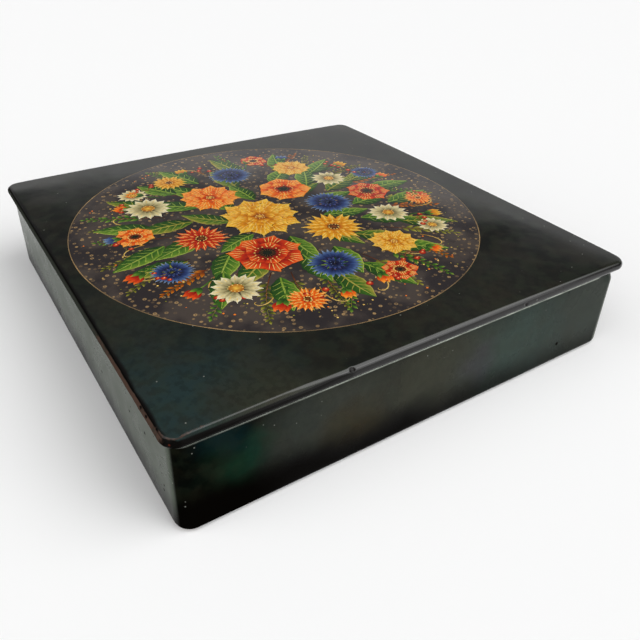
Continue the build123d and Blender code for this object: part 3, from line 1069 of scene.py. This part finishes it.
def poppy(work, centre, radius, tones, lift, turn):
    """An open flower of seven broad petals round a dark heart with stamens."""
    petal_ring(work, centre, 7, radius, radius * 0.86, tones, lift, turn, 5, crest=2.2, ragged=0.07)
    inner = radius * 0.62
    petal_ring(work, centre, 5, inner, inner, tones, lift + PETAL_LAYER, turn + 30, 3, crest=2.0)
    dab(work, centre, radius * 0.22, ("#1c2414", "#12100c"), lift + 2 * PETAL_LAYER, 14)
    for k in range(16):
        aim = heading_of(turn + 22.5 * k) * radius
        stamen = bow(centre + aim * 0.12, centre + aim * 0.2, centre + aim * 0.33, 3)
        line(work, stamen, 0.26, BROWNS[::-1], lift + 0.016)
        dab(work, centre + aim * 0.33, 0.38, PALE_GOLD[::-1], lift + 0.018, 6)


def aster(work, centre, radius, tones, lift, turn):
    """A flower of many narrow petals in three rings."""
    for index, (count, reach, width) in enumerate(((19, 1.0, 0.25), (15, 0.76, 0.24), (11, 0.5, 0.22))):
        petal_ring(
            work, centre, count, radius * reach, radius * width, tones, lift + PETAL_LAYER * index,
            turn + 9 * index, 1, crest=1.4, ragged=0.02,
        )
    heart(work, centre, radius * 0.2, ("#8a4a14", "#3a1a0a"), lift + 0.022, 11)


def cornflower(work, centre, radius, tones, lift, turn):
    """A ring of trumpet florets, each split in three at its tip, round a tuft."""
    for k in range(10):
        heading = turn + 36 * k + random.uniform(-4, 4)
        root = centre + heading_of(heading) * (radius * 0.2)
        for spread, raised in ((-15, 0.0), (15, 0.0), (0, 0.003)):
            petal(work, root, heading + spread, radius * random.uniform(0.72, 0.84), radius * 0.2, tones,
                  lift + raised, rows=6, columns=5)
    tuft = BLUES[:3] + ("#7a5a9a",)
    petal_ring(work, centre, 12, radius * 0.42, radius * 0.13, tuft, lift + 0.008, turn + 11)
    for k in range(7):
        spot = centre + heading_of(51 * k) * (radius * random.uniform(0.05, 0.3))
        dab(work, spot, 0.4, BLUES[::-1], lift + 0.013, 6)


def daisy(work, centre, radius, tones, lift, turn):
    """A ring of long pale petals round a golden heart."""
    petal_ring(
        work, centre, 14, radius, radius * 0.33, tones, lift, turn, 1, crest=1.5, start=0.2, ragged=0.03
    )
    heart(work, centre, radius * 0.28, ("#f0c24c", "#a85c14"), lift + 0.008, 10)


def leaf(work, root, turn, length, width, tones, lift, bend):
    """A pointed leaf with a light and a dark half, a pale midrib and side veins."""
    ahead = heading_of(turn)
    aside = heading_of(turn + 90)

    def spot(share, side):
        """A place on the leaf: share along it, side from -1 to 1 across it."""
        teeth = 1 + 0.07 * math.sin(share * 34)
        half = width / 2 * max(math.sin(math.pi * share ** 0.85) ** 0.9 * teeth, 0.06)
        return root + ahead * (length * share) + aside * (half * side + bend * share * share)

    rows, columns = 15, 9
    grid = []
    for i in range(rows):
        share = i / (rows - 1)
        row = []
        for j in range(columns):
            side = 2 * j / (columns - 1) - 1
            rib = 0.5 + 0.5 * math.cos(share * 34 - abs(side) * 5)
            light = 0.3 + 0.22 * side + 0.25 * share + 0.16 * rib * abs(side) + random.uniform(-0.04, 0.04)
            place = spot(share, side)
            row.append((place.x, place.y, lift, shade(tones, light)))
        grid.append(row)
    work.lay_grid(grid)
    pale = (tones[-2], tones[-1])
    line(work, [spot(0.97 * k / 8, 0.0) for k in range(9)], 0.07 * width, pale, lift + SHINGLE, start=0.9)
    for k in range(1, 6):
        for side in (-1, 1):
            vein = [spot(0.13 * k + 0.045 * step, side * 0.27 * step) for step in range(4)]
            line(work, vein, 0.035 * width, pale, lift + SHINGLE, start=0.8)
    line(work, [spot(0.12 + 0.86 * k / 8, 0.96) for k in range(9)], 0.05 * width, pale, lift + 2 * SHINGLE)


def spray(work, root, turn, length, bend, tones, lift, leaflets):
    """A thin stem with small leaflets to both sides that shorten towards its tip."""
    ahead = heading_of(turn)
    aside = heading_of(turn + 90)
    stem = bow(root, root + ahead * (0.55 * length), root + ahead * length + aside * bend, 12)
    line(work, stem, 0.5, BROWNS + OLIVES[1:3], lift, start=1.0, end=0.4)
    for k in range(leaflets):
        share = 0.22 + 0.78 * (k + 0.5) / leaflets
        place = share * (len(stem) - 1)
        low = min(int(place), len(stem) - 2)
        joint = stem[low].lerp(stem[low + 1], place - low)
        run = stem[low + 1] - stem[low]
        way = math.degrees(math.atan2(run.y, run.x))
        size = length * 0.15 * (1.15 - 0.6 * share) * random.uniform(0.8, 1.2)
        side = 1 if k % 2 else -1
        petal(work, joint, way + side * random.uniform(32, 58), size, size * 0.42, tones, lift + SHINGLE,
              crest=1.1, rows=5, columns=3)
    petal(work, stem[-1], way, length * 0.1, length * 0.04, tones, lift + SHINGLE, rows=5, columns=3)


def berry(work, centre, radius, tones, lift):
    """A round berry, lit from the upper left."""
    dab(work, centre, radius, tones, lift, 10)
    light = centre + Vector((-0.32, 0.32)) * radius
    dab(work, light, radius * 0.3, ("#f8e0b4", tones[0]), lift + SHINGLE, 6)


def tendril(work, root, turn, size, lift, hand):
    """A gold curl that winds up at its end."""
    spots = []
    place = root.copy()
    steps = 22
    for k in range(steps):
        spots.append(place.copy())
        share = k / (steps - 1)
        place = place + heading_of(turn) * (size * 0.09 * (1.15 - share))
        turn += hand * (4 + 34 * share * share)
    line(work, spots, 0.45, CURL_GOLDS, lift, start=0.9, end=0.3)


def bud(work, root, turn, length, tones, lift):
    """A closed flower on a stem, in two green sepals."""
    base = root + heading_of(turn) * (length * 0.5)
    stem = bow(root, root.lerp(base, 0.5) + heading_of(turn + 90) * 0.6, base, 6)
    line(work, stem, 0.6, GREENS[1:4], lift, 1.0, 0.8)
    for spread in (-16, 16, 0):
        petal(work, base, turn + spread, length * 0.55, length * 0.26, tones, lift + 0.004, rows=6,
              columns=5)
    for spread in (-24, 24):
        petal(work, base, turn + spread, length * 0.34, length * 0.14, GREENS[1:], lift + 0.009, crest=0.9,
              rows=5, columns=3)


# Flowers: kind, centre, radius, tones, layer, turn. Flowers in one layer stay apart
FLOWERS = (
    (peony, (-3, -7), 18, GOLDS, 4, 10),
    (poppy, (27, -20), 15, REDS, 3, 40),
    (peony, (-32, -17), 14, ORANGES, 3, 25),
    (aster, (21, 15), 13, GOLDS, 3, 0),
    (poppy, (-24, 17), 13, ORANGES, 3, 15),
    (cornflower, (-1, 27), 11, BLUES, 2, 0),
    (aster, (3, -37), 11, REDS, 2, 5),
    (cornflower, (47, -2), 11, BLUES, 2, 20),
    (cornflower, (-52, 3), 10.5, BLUES, 2, 8),
    (daisy, (44, -42), 10, CREAMS, 2, 5),
    (daisy, (-35, -45), 10.5, CREAMS, 2, 12),
    (peony, (44, 29), 10.5, GOLDS, 2, 0),
    (peony, (-46, 34), 10, GOLDS, 2, 30),
    (poppy, (-3, 50), 10.5, REDS, 2, 8),
    (daisy, (21, 44), 9, CREAMS, 1, 9),
    (daisy, (-25, 43), 8.5, CREAMS, 1, 3),
    (aster, (63, -24), 8, ORANGES, 1, 0),
    (aster, (-58, -26), 8.5, GOLDS, 1, 14),
    (cornflower, (22, -57), 8.5, BLUES, 1, 4),
    (poppy, (-12, -59), 8.5, ORANGES, 1, 0),
    (poppy, (63, 17), 7.5, REDS, 1, 25),
    (poppy, (-64, 22), 7, REDS, 1, 10),
    (aster, (15, 66), 7, ORANGES, 1, 7),
    (cornflower, (-23, 63), 7.5, BLUES, 1, 0),
    (daisy, (40, 53), 7, CREAMS, 1, 6),
    (daisy, (-52, -46), 7, CREAMS, 1, 2),
)
FLOWER_LIFT = 0.032
FLOWER_LAYER = 0.036
# Rings of leaves behind the flowers: number, distance of their roots, length, width
LEAF_RINGS = ((9, 20, 22, 9), (15, 36, 24, 10.5), (18, 52, 24, 10))
# Lifts of the rest, from the back of the bouquet to its front, and the steps between neighbours
SPRAY_LIFT = 0.014
RING_LIFT = 0.02
TENDRIL_LIFT = 0.028
TOUCH_LIFT = 0.03
LEAF_LIFT = 0.033
BUD_LIFT = 0.066
BERRY_LIFT = 0.07
SMALL_STEP = 0.004
LEAF_STEP = 0.006
# How many of each there are, all the way round
SPRAYS = 30
TENDRILS = 18
BUDS = 16
BERRY_CLUSTERS = 14
TOUCHES = 180
RING_STROKES = 8
RING_STEPS = 24
# Each stroke of the ring laps one degree over the next
RING_SWEEP = 360 / RING_STROKES + 1


def paint_bouquet(paint):
    """Lay the bouquet from its back to its front and make its pieces."""
    sprays, leaves, flowers, fine = Brushwork(), Brushwork(), Brushwork(), Brushwork()
    middle = Vector((0.0, 0.0))

    for k in range(SPRAYS):
        turn = 360 * k / SPRAYS + random.uniform(-4, 4)
        tones = random.choice((OLIVES, GREENS[1:], OLIVES[1:], GOLDS[:3]))
        root = middle + heading_of(turn) * random.uniform(45, 50)
        spray(
            sprays, root, turn + random.uniform(-14, 14), random.uniform(24, 32), random.uniform(-7, 7),
            tones, SPRAY_LIFT + SMALL_STEP * (k % 3), 17,
        )
    for k in range(TENDRILS):
        turn = 360 * k / TENDRILS + 7 + random.uniform(-4, 4)
        root = middle + heading_of(turn) * random.uniform(54, 62)
        tendril(sprays, root, turn, random.uniform(11, 15), TENDRIL_LIFT, 1 if k % 2 else -1)

    for count, distance, length, width in LEAF_RINGS:
        for k in range(count):
            turn = 360 * k / count + distance + random.uniform(-5, 5)
            root = middle + heading_of(turn) * distance
            tones = GREENS if k % 3 else GREENS[:3] + OLIVES[2:]
            leaf(
                leaves, root, turn + random.uniform(-28, 28), length * random.uniform(0.85, 1.1), width,
                tones, LEAF_LIFT + LEAF_STEP * (k % 5), random.uniform(-4, 4),
            )

    for k in range(BUDS):
        turn = 360 * k / BUDS + 14 + random.uniform(-5, 5)
        root = middle + heading_of(turn) * random.uniform(54, 60)
        tones = random.choice((ORANGES, REDS, GOLDS, BLUES))
        bud(flowers, root, turn + random.uniform(-20, 20), random.uniform(13, 17), tones, BUD_LIFT)
    for kind, centre, radius, tones, layer, turn in FLOWERS:
        kind(flowers, Vector(centre), radius, tones, FLOWER_LIFT + FLOWER_LAYER * layer, turn)

    for k in range(BERRY_CLUSTERS):
        turn = 360 * k / BERRY_CLUSTERS + 5 + random.uniform(-5, 5)
        root = middle + heading_of(turn) * random.uniform(58, 66)
        for berries in range(5):
            end = root + heading_of(turn + random.uniform(-75, 75)) * random.uniform(3.5, 8)
            stalk = bow(root, root.lerp(end, 0.5) + heading_of(turn) * 0.8, end, 5)
            line(fine, stalk, 0.3, BROWNS[::-1], BUD_LIFT, 1.0, 0.8)
            berry(fine, end, random.uniform(0.9, 1.5), BERRY_REDS, BERRY_LIFT + SMALL_STEP * (berries % 3))
    for _ in range(TOUCHES):
        spot = middle + heading_of(random.uniform(0, 360)) * random.uniform(62, 81)
        tones = random.choice((PALE_GOLD[::-1], OLIVES[::-1], ORANGES[::-1][:3]))
        dab(fine, spot, random.uniform(0.2, 0.5), tones, TOUCH_LIFT, 6)

    # The ring that closes the round, drawn in strokes of thin gold
    for k in range(RING_STROKES):
        spots = []
        for step in range(RING_STEPS + 1):
            turn = 360 * k / RING_STROKES + RING_SWEEP * step / RING_STEPS
            spots.append(middle + heading_of(turn) * RING_RADIUS)
        line(fine, spots, 0.42, RING_GOLDS, RING_LIFT + 0.003 * (k % 2), 1.0, 0.7)

    sprays.make("painted_sprays", paint)
    leaves.make("painted_leaves", paint)
    flowers.make("painted_flowers", paint)
    fine.make("painted_berries_and_ring", paint)


# Pieces

lid_skin = skin_rings(lid_rings(), closed=False)
lid_shell = new_piece("lid_shell", *lid_skin, "lid", ("lid_panel", "lid_frame"))
cut_hinge_seats(lid_shell, upward=True)
turn_edge_over(lid_shell)
wear_lid(lid_shell)
smooth(lid_shell)

wall_skin = skin_rings(wall_rings(), closed=True)
wall_shell = new_piece("wall_shell", *wall_skin, "base", ("wall_frame",))
cut_hinge_seats(wall_shell, upward=False)
wear_wall(wall_shell)
smooth(wall_shell)

red = red_lacquer()
lid_shell.data.materials.clear()
lid_shell.data.materials.append(polished_black_lacquer())
lid_shell.data.materials.append(red)
# The recess in the lid is red inside
FACE_SLACK = 0.01 * MM
for polygon in lid_shell.data.polygons:
    middle = polygon.center
    within_x = abs(middle.x) < OPENING_HALF_X + FACE_SLACK
    within_y = -OPENING_FRONT - FACE_SLACK < middle.y < OPENING_BACK + FACE_SLACK
    within_z = RIM_Z + FACE_SLACK < middle.z < RECESS_Z + FACE_SLACK
    if within_x and within_y and within_z:
        polygon.material_index = 1
wall_shell.data.materials.clear()
wall_shell.data.materials.append(satin_black_lacquer())

brass_sheet = aged_brass("aged_brass_sheet", "#b08a4a", "#7d5a2c")
brass_wire = aged_brass("aged_brass_wire", "#c19a56", "#8a6632")
node_finishes = {
    "front_liner": red,
    "left_liner": red,
    "right_liner": red,
    "back_liner": red,
    "bottom_panel": bottom_board_lacquer(),
    "body_leaf_nails": brass_wire,
    "lid_leaf_nails": brass_wire,
}
for side in ("left", "right"):
    node_finishes[f"{side}_hinge_body_leaf"] = brass_sheet
    node_finishes[f"{side}_hinge_lid_leaf"] = brass_sheet
    node_finishes[f"{side}_hinge_pin"] = brass_wire
for node, finish in node_finishes.items():
    for slot in frame["nodes"][node].material_slots:
        slot.material = finish

paint_bouquet(tempera_under_lacquer())

# Stage: a white paper floor, three soft lights and a pale backdrop

FLOOR_REACH = 6.0
FLOOR_Z = -0.05 * MM
floor_corners = []
for x, y in ((-1, -1), (1, -1), (1, 1), (-1, 1)):
    floor_corners.append((x * FLOOR_REACH, y * FLOOR_REACH, FLOOR_Z))
floor_mesh = bpy.data.meshes.new("paper_floor")
floor_mesh.from_pydata(floor_corners, [], [(0, 1, 2, 3)])
floor = bpy.data.objects.new("paper_floor", floor_mesh)
bpy.context.scene.collection.objects.link(floor)
paper, _, paper_shader, _ = new_material("matt_white_paper")
paper_shader.inputs["Base Color"].default_value = linear("#f6f6f6")
paper_shader.inputs["Roughness"].default_value = 0.9
paper_shader.inputs["Specular IOR Level"].default_value = 0.1
floor_mesh.materials.append(paper)

ROOM_LEVEL = 0.09
# Soft lights, high and low at the right rear and one in front: direction, half angle of the full part and
# of the edge in degrees, level
SOFT_LIGHTS = (
    ((0.48, 0.42, 0.77), 16, 35, 3.1),
    ((0.86, 0.46, 0.24), 10, 28, 2.2),
    ((0.15, -0.8, 0.58), 15, 50, 1.9),
)
# Backdrop: its middle, the soft edge to its sides, its levels low down and high up and the heights between
# which they change, its soft top edge, and how that edge climbs to the right
BACKDROP_WAY = Vector((-0.77, 0.64, 0.0))
BACKDROP_SIDES = (0.45, 0.75)
BACKDROP_LEVELS = (0.38, 0.54)
BACKDROP_HEIGHTS = (0.3, 0.38)
BACKDROP_TOP = (0.394, 0.362)
BACKDROP_CLIMB = 0.08

world = bpy.data.worlds.new("studio")
bpy.context.scene.world = world
world.use_nodes = True
sky = world.node_tree
way = add(sky, "ShaderNodeTexCoord").outputs["Generated"]
level = ROOM_LEVEL
for aim, inner, outer, strength in SOFT_LIGHTS:
    middle_way = Vector(aim).normalized()
    facing = add(sky, "ShaderNodeVectorMath", {0: way, 1: middle_way}, operation="DOT_PRODUCT")
    edge, full = (math.cos(math.radians(angle)) for angle in (outer, inner))
    glow = add(
        sky, "ShaderNodeMapRange", {"Value": facing, "From Min": edge, "From Max": full, "To Max": strength},
        interpolation_type="SMOOTHSTEP",
    )
    level = add(sky, "ShaderNodeMath", {0: glow, 1: level}, operation="ADD")
height = add(sky, "ShaderNodeSeparateXYZ", {"Vector": way}).outputs["Z"]
behind = add(sky, "ShaderNodeVectorMath", {0: way, 1: BACKDROP_WAY}, operation="DOT_PRODUCT")
climb = BACKDROP_WAY.cross(Vector((0, 0, -BACKDROP_CLIMB)))
climbed = add(sky, "ShaderNodeVectorMath", {0: way, 1: climb}, operation="DOT_PRODUCT")
over_foot = add(sky, "ShaderNodeMath", {0: height, 1: climbed}, operation="ADD")
(low, high), (dim, bright) = BACKDROP_HEIGHTS, BACKDROP_LEVELS
backdrop = add(
    sky, "ShaderNodeMapRange",
    {"Value": over_foot, "From Min": low, "From Max": high, "To Min": dim, "To Max": bright},
)
for value, (low, high) in ((behind, BACKDROP_SIDES), (over_foot, BACKDROP_TOP)):
    backdrop = add(
        sky, "ShaderNodeMapRange", {"Value": value, "From Min": low, "From Max": high, "To Max": backdrop},
        interpolation_type="SMOOTHSTEP",
    )
level = add(sky, "ShaderNodeMath", {0: backdrop, 1: level}, operation="ADD")
plug(sky, level, sky.nodes["Background"].inputs["Strength"])
sky.nodes["Background"].inputs["Color"].default_value = (1.0, 1.0, 1.0, 1.0)

# Camera, as the photograph was taken

VIEW_AZIMUTH = math.radians(56.181)
VIEW_ELEVATION = math.radians(34.327)
VIEW_ROLL = math.radians(1.595)
VIEW_PLACE = Vector((218.58, -129.27, 160.17)) * MM
FOCAL_PIXELS = 638.474
FRAME_PIXELS = 640
SENSOR_WIDTH = 36.0

camera_data = bpy.data.cameras.new("camera")
camera_data.sensor_fit = "HORIZONTAL"
camera_data.sensor_width = SENSOR_WIDTH
camera_data.lens = SENSOR_WIDTH * FOCAL_PIXELS / FRAME_PIXELS
camera_data.clip_start = 0.01
camera = bpy.data.objects.new("camera", camera_data)
backward = Vector((
    math.sin(VIEW_AZIMUTH) * math.cos(VIEW_ELEVATION),
    -math.cos(VIEW_AZIMUTH) * math.cos(VIEW_ELEVATION),
    math.sin(VIEW_ELEVATION),
))
rightward = Vector((math.cos(VIEW_AZIMUTH), math.sin(VIEW_AZIMUTH), 0))
upright = Matrix((rightward, backward.cross(rightward), backward)).transposed().to_4x4()
camera.matrix_world = Matrix.Translation(VIEW_PLACE) @ upright @ Matrix.Rotation(VIEW_ROLL, 4, "Z")
bpy.context.scene.collection.objects.link(camera)
bpy.context.scene.camera = camera

bpy.context.scene.view_settings.view_transform = "Standard"
